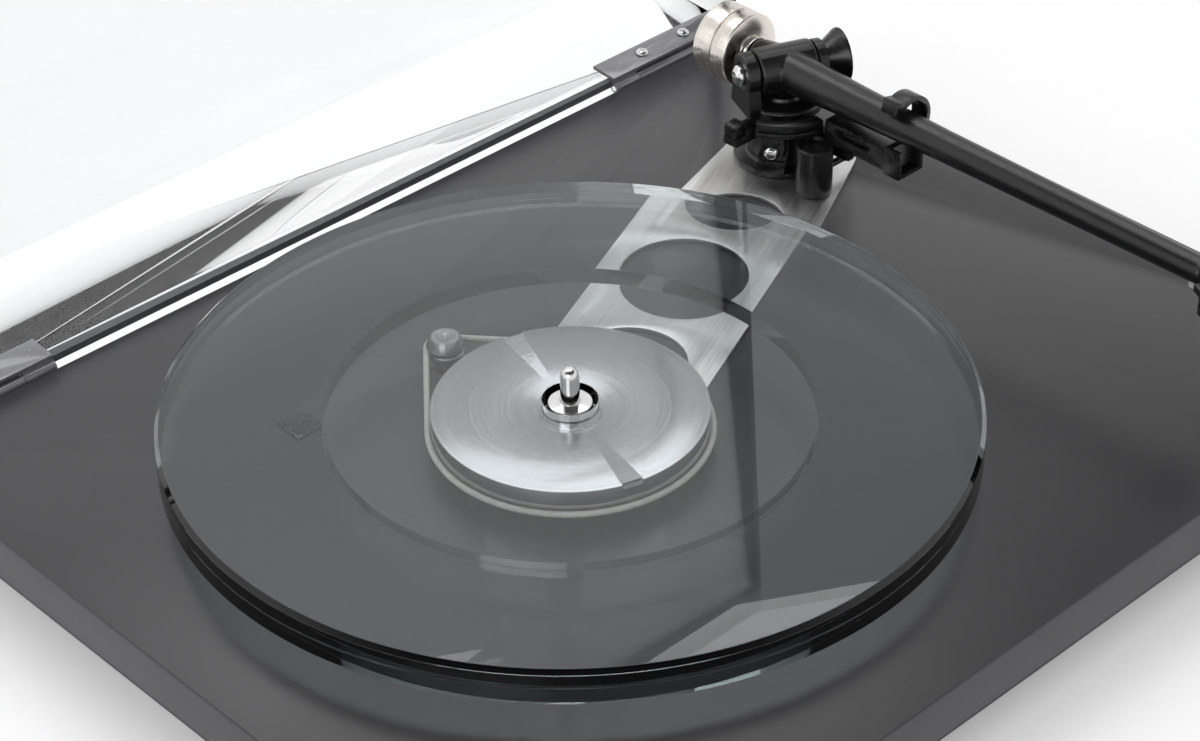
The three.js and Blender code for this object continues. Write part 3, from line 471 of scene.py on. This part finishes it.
plinth = {"edgeRound": 0.3, "braceRound": 0.25}
softened("plinth_top_skin", plinth["edgeRound"])
softened("plinth_bottom_skin", plinth["edgeRound"])
softened("plinth_edge_band", plinth["edgeRound"])
softened("upper_brace", plinth["braceRound"])
softened("lower_brace", plinth["braceRound"])
softened("plinth_plug", 0.4)
softened("board_cover", 0.5)
softened("power_inlet", 0.5)
softened("switch_housing", 0.7)
softened("power_rocker", 0.5)
softened("arm_nut", 0.5)

foot = {"shoulder": 3.0}
for node in ("foot_front_left", "foot_front_right", "foot_rear"):
    low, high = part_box(node)
    centre = (low + high) / 2
    radius = (high.x - low.x) / 2 / mm
    under = (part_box("plinth_bottom_skin")[0].z - low.z) / mm
    profile = [(0, 0.8), (radius - 9, 0.8), (radius - 8, 0), (radius - 4, 0), (radius - 2.4, 1),
               (radius - 1, foot["shoulder"] + 1), (radius - 0.4, under * 0.55), (radius - 0.9, under * 0.6),
               (radius - 0.3, under * 0.65), (radius, under), (4, under), (4, (high.z - low.z) / mm),
               (0, (high.z - low.z) / mm)]
    bm = placed(spun(profile, 64, 0.3), Vector((centre.x, centre.y, low.z)))
    piece(node + "_moulding", bm, node)

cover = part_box("motor_cover")
coverDepth = (cover[1].z - cover[0].z) / mm
piece("motor_cover_moulding", placed(spun([
    (0, 0), (24, 0), (25, 1.2), (25, coverDepth - 1.5), (27.5, coverDepth - 1.5), (27.5, coverDepth),
    (23.5, coverDepth), (23.5, 1.5), (0, 1.5)], 72, 0.3), Vector((motor.x, motor.y, cover[0].z))),
    "motor_cover")
print("plinth done")


# ---- platter, sub-platter, belt drive ----

glass = {
    "radius": 150, "bore": 90, "hole": 10.25, "chamfer": 1.75, "layer": 7, "lift": 10.8,
    "bondGroove": 0.25,   # the fine line where the two layers are bonded
}
glassTop = glass["lift"] + 2 * glass["layer"]
bond = glass["lift"] + glass["layer"]
r, c, g = glass["radius"], glass["chamfer"], glass["bondGroove"]
profile = [
    (glass["hole"], bond), (glass["bore"], bond), (glass["bore"], glass["lift"]), (r, glass["lift"]),
    (r, bond - g), (r - g, bond), (r, bond + g), (r, glassTop - c), (r - c, glassTop),
    (glass["hole"], glassTop),
]
piece("platter_glass", placed(spun(profile, 192, 0.15, 1, closed=True), spindle), "platter_disc",
      extra=("platter_ring",), smoothAngle=20)

sub = {
    "radius": 51, "hole": 8.7, "bottom": 5.5, "top": 17.8,
    "shown": 17.6,   # the face as drawn, just under the glass, so that the two do not coincide
    "boss": 16, "skirt": 46, "web": 14.8,
    "grooveRadius": 50.7, "grooveLow": 7.3, "grooveHigh": 10.1, "grooveSlope": 0.2,
}
subBody = placed(spun([
    (sub["hole"], sub["bottom"]), (sub["boss"], sub["bottom"]), (sub["boss"], sub["web"]),
    (sub["skirt"], sub["web"]), (sub["skirt"], sub["bottom"]), (sub["radius"], sub["bottom"]),
    (sub["radius"], sub["grooveLow"]), (sub["grooveRadius"], sub["grooveLow"] + sub["grooveSlope"]),
    (sub["grooveRadius"], sub["grooveHigh"] - sub["grooveSlope"]), (sub["radius"], sub["grooveHigh"]),
    (sub["radius"], sub["shown"]), (sub["hole"], sub["shown"])], 144, 0.2, 2, closed=True), spindle)
notch = {"angle": 72.5, "length": 8, "depth": 1.2, "height": 2, "tool": 4}   # one each side of the rim's top
for turn in (0, 180):
    bearing = Matrix.Rotation(math.radians(notch["angle"] + turn), 4, "Z")
    spot = bearing @ Vector((sub["radius"] - notch["depth"] + notch["tool"] / 2, 0,
                             sub["top"] - notch["height"] + notch["tool"] / 2)) * mm
    size = Matrix.Diagonal((notch["tool"] * mm, notch["length"] * mm, notch["tool"] * mm, 1))
    tool = bmesh.new()
    bmesh.ops.create_cube(tool, size=1, matrix=Matrix.Translation(spindle + spot) @ bearing @ size)
    subBody = carved(subBody, tool)
piece("sub_platter_turning", subBody, "sub_platter")

hub = {
    "shaft": 5, "foot": -27, "flange": 14, "flangeLow": 3.5, "flangeHigh": 5.5,
    "radius": 8.4, "top": 23.6, "chamfer": 0.4, "spindle": 3.55, "tip": 38,
}
nose = [(3.45, 34.6), (3.15, 35.9), (2.6, 37.0), (1.7, 37.75), (0.8, 37.97)]   # the spindle's rounded end
piece("spindle_hub_turning", placed(spun([
    (0, hub["foot"]), (hub["shaft"], hub["foot"]), (hub["shaft"], hub["flangeLow"]),
    (hub["flange"], hub["flangeLow"]), (hub["flange"], hub["flangeHigh"]),
    (hub["radius"], hub["flangeHigh"]),
    (hub["radius"], hub["top"] - hub["chamfer"]), (hub["radius"] - hub["chamfer"], hub["top"]),
    (hub["spindle"] + 0.35, hub["top"]), (hub["spindle"], hub["top"] + 0.3), (hub["spindle"], 33.5),
    *nose, (0, hub["tip"])], 64, 0.1), spindle), "spindle_hub")

# A cone below the belt's groove and another above it, a centre mark on top and a blind bore below.
pulley = {"bore": 1.55, "boreEnd": 10.7, "bottom": 3, "foot": 5.5, "lowRim": 7, "groove": 6, "highRim": 7.4,
          "top": 14.2, "mark": 0.8}
piece("motor_pulley_turning", placed(spun([
    (pulley["bore"], pulley["bottom"]), (pulley["foot"], pulley["bottom"]), (pulley["lowRim"], 7.2),
    (6.3, 7.3), (pulley["groove"], 7.7), (pulley["groove"], 9.7), (6.3, 10.0), (7.3, 10.05),
    (pulley["highRim"], 10.3), (5.6, 14.1), (5.4, pulley["top"]), (pulley["mark"], pulley["top"]),
    (0, pulley["top"] - pulley["mark"]), (0, pulley["boreEnd"]), (pulley["bore"], pulley["boreEnd"])],
    64, 0.08, 2, closed=True), motor), "motor_pulley", finishes["pulley"], smoothAngle=24)

belt = {"thickness": 2.3, "frontRadius": 52.15, "rearRadius": 7.45, "height": 8.7}


def beltCord():
    # Round cord about both wheels: two arcs and their outer tangents, swept with a round section.
    span = (motor - spindle).length / mm
    lean = math.asin((belt["frontRadius"] - belt["rearRadius"]) / span)
    arcs = [(0, belt["frontRadius"], math.pi - lean, math.tau + lean, 96),
            (span, belt["rearRadius"], lean, math.pi - lean, 24)]
    curve = bpy.data.curves.new("drive_belt_cord", "CURVE")
    curve.dimensions = "3D"
    curve.bevel_depth = belt["thickness"] / 2 * mm
    curve.bevel_resolution = 3
    points = []
    for ahead, radius, start, end, steps in arcs:
        for i in range(steps + 1):
            angle = start + (end - start) * i / steps
            points.append(spindle + Vector((radius * math.cos(angle), ahead + radius * math.sin(angle),
                                            belt["height"])) * mm)
    line = curve.splines.new("POLY")
    line.points.add(len(points) - 1)
    for point, place in zip(line.points, points):
        point.co = (*place, 1)
    line.use_cyclic_u = True
    holder = bpy.data.objects.new("belt_path", curve)
    bm = bmesh.new()
    bm.from_mesh(holder.to_mesh())
    bpy.data.objects.remove(holder)
    bmesh.ops.remove_doubles(bm, verts=bm.verts, dist=1e-6)
    bmesh.ops.recalc_face_normals(bm, faces=bm.faces)
    return bm


piece("drive_belt_cord", beltCord(), "drive_belt", smoothAngle=60)
print("drive done")


# ---- lid and hinges ----

lidSize = {"edgeRound": 0.5, "narrow": 5}
sheet = copied("lid", lidSize["edgeRound"], 2)
for face in sheet.faces:
    # Only the sheet's sawn edges and rounded corners are this narrow; these faces get the painted-shade
    # grey.
    if 2 * face.calc_area() / sum(edge.calc_length() for edge in face.edges) < lidSize["narrow"] * mm:
        face.material_index = 1
lidSkin = piece("lid_skin", sheet, "lid")
# The second material is painted shade: opaque grey on the narrow edge and corner faces in place of clear
# sheet.
lidSkin.data.materials.append(acrylicEdgePaintedShade())
for side in ("left", "right"):
    softened("lid_plate_" + side, 0.3)
    softened("hinge_bracket_" + side, 0.25)
for index in range(4):
    softened(f"lid_screw_{index + 1}", 0.12, 1, 40)
softened("lid_bumper", 0.3)
print("lid done")


# ---- tonearm ----

def fused(name, meshes, voxelMm, smoothing, node):
    # Parts of one casting are joined and their corners run together, as the mould leaves them.
    bm = bmesh.new()
    for part in meshes:
        scratch = bpy.data.meshes.new("scratch")
        part.to_mesh(scratch)
        part.free()
        bm.from_mesh(scratch)
        bpy.data.meshes.remove(scratch)
    mesh = bpy.data.meshes.new(name)
    bm.to_mesh(mesh)
    bm.free()
    holder = bpy.data.objects.new(name, mesh)
    bpy.context.scene.collection.objects.link(holder)
    remesh = holder.modifiers.new("remesh", "REMESH")
    remesh.mode = "VOXEL"
    remesh.voxel_size = voxelMm * mm
    smooth = holder.modifiers.new("smooth", "SMOOTH")
    smooth.iterations = smoothing
    smooth.factor = 0.5
    ready = holder.evaluated_get(bpy.context.evaluated_depsgraph_get()).to_mesh()
    bm = bmesh.new()
    bm.from_mesh(ready)
    bpy.data.objects.remove(holder)
    return piece(name, bm, node, smoothAngle=50)


# The taper, as mm along the arm from its pivot, and radius. It runs from the wire hole to the bearing boss.
taper = [(-208.5, 5.44), (-156, 5.8), (-88, 6.4), (-66, 6.9), (-43, 7.5), (-14, 8.6), (3, 8.78)]
wall = 1.2
tubeSkin = placed(spun([(radius, along) for along, radius in taper]
                       + [(radius - wall, along) for along, radius in reversed(taper)], 96, closed=True),
                  armPivot, rearward)
fused("arm_casting", [copied("arm_tube"), tubeSkin], 0.42, 4, "arm_tube")
fused("yoke_casting", [copied("yoke")], 0.4, 3, "yoke")
softened("cartridge", 0.5)
softened("arm_pillar", 0.3)
softened("lift_cylinder", 0.25)
softened("lift_platform", 0.35)
softened("cue_lever", 0.4)
softened("rest_bar", 0.35)
softened("rest_clip", 0.35)
softened("bias_housing", 0.35)
softened("bias_slider", 0.6)
softened("force_dial", 0.3)
softened("counterweight", 0.25)
softened("arm_stub", 0.2)
softened("bearing_bolt", 0.2)
softened("bias_screw", 0.15)
print("arm done")


# ---- everything else keeps its CAD shape ----

for name, obj in frame["nodes"].items():
    obj.data.materials.clear()
    obj.data.materials.append(finishes[slotOf[name]])

# Clear sheet and glass let the lamps through.
clear = ("lid", "platter_disc", "platter_ring")
for obj in bpy.data.objects:
    if obj.name.startswith(("lid_skin", "platter_glass")) or obj.name in clear:
        obj.visible_shadow = False


# ---- floor ----

paper = {"halfWidth": 6, "drop": 0.0002, "glow": 0.22}   # m, m below the feet, and what the eye gets extra


def makeFloor():
    bm = bmesh.new()
    bmesh.ops.create_grid(bm, x_segments=1, y_segments=1, size=paper["halfWidth"])
    mesh = bpy.data.meshes.new("floor")
    bm.to_mesh(mesh)
    bm.free()
    floor = bpy.data.objects.new("floor", mesh)
    floor.location = (0, 0, -paper["drop"])
    bpy.context.scene.collection.objects.link(floor)
    material, tree, principled = shader("floor paper matt")
    setSockets(principled, colour=linear("#f3f3f4"), roughness=0.9, specular=0.1)
    path = addNode(tree, "ShaderNodeLightPath")
    direct = addNode(tree, "ShaderNodeMath", {0: path.outputs["Is Camera Ray"],
                                              1: path.outputs["Is Transmission Ray"]}, operation="MAXIMUM")
    seen = addNode(tree, "ShaderNodeMath", {0: direct.outputs[0], 1: path.outputs["Is Glossy Ray"]},
                   operation="MAXIMUM")
    glow = addNode(tree, "ShaderNodeMath", {0: seen.outputs[0], 1: paper["glow"]}, operation="MULTIPLY")
    principled.inputs["Emission Color"].default_value = (1, 1, 1, 1)
    tree.links.new(glow.outputs[0], principled.inputs["Emission Strength"])
    floor.data.materials.append(material)


makeFloor()
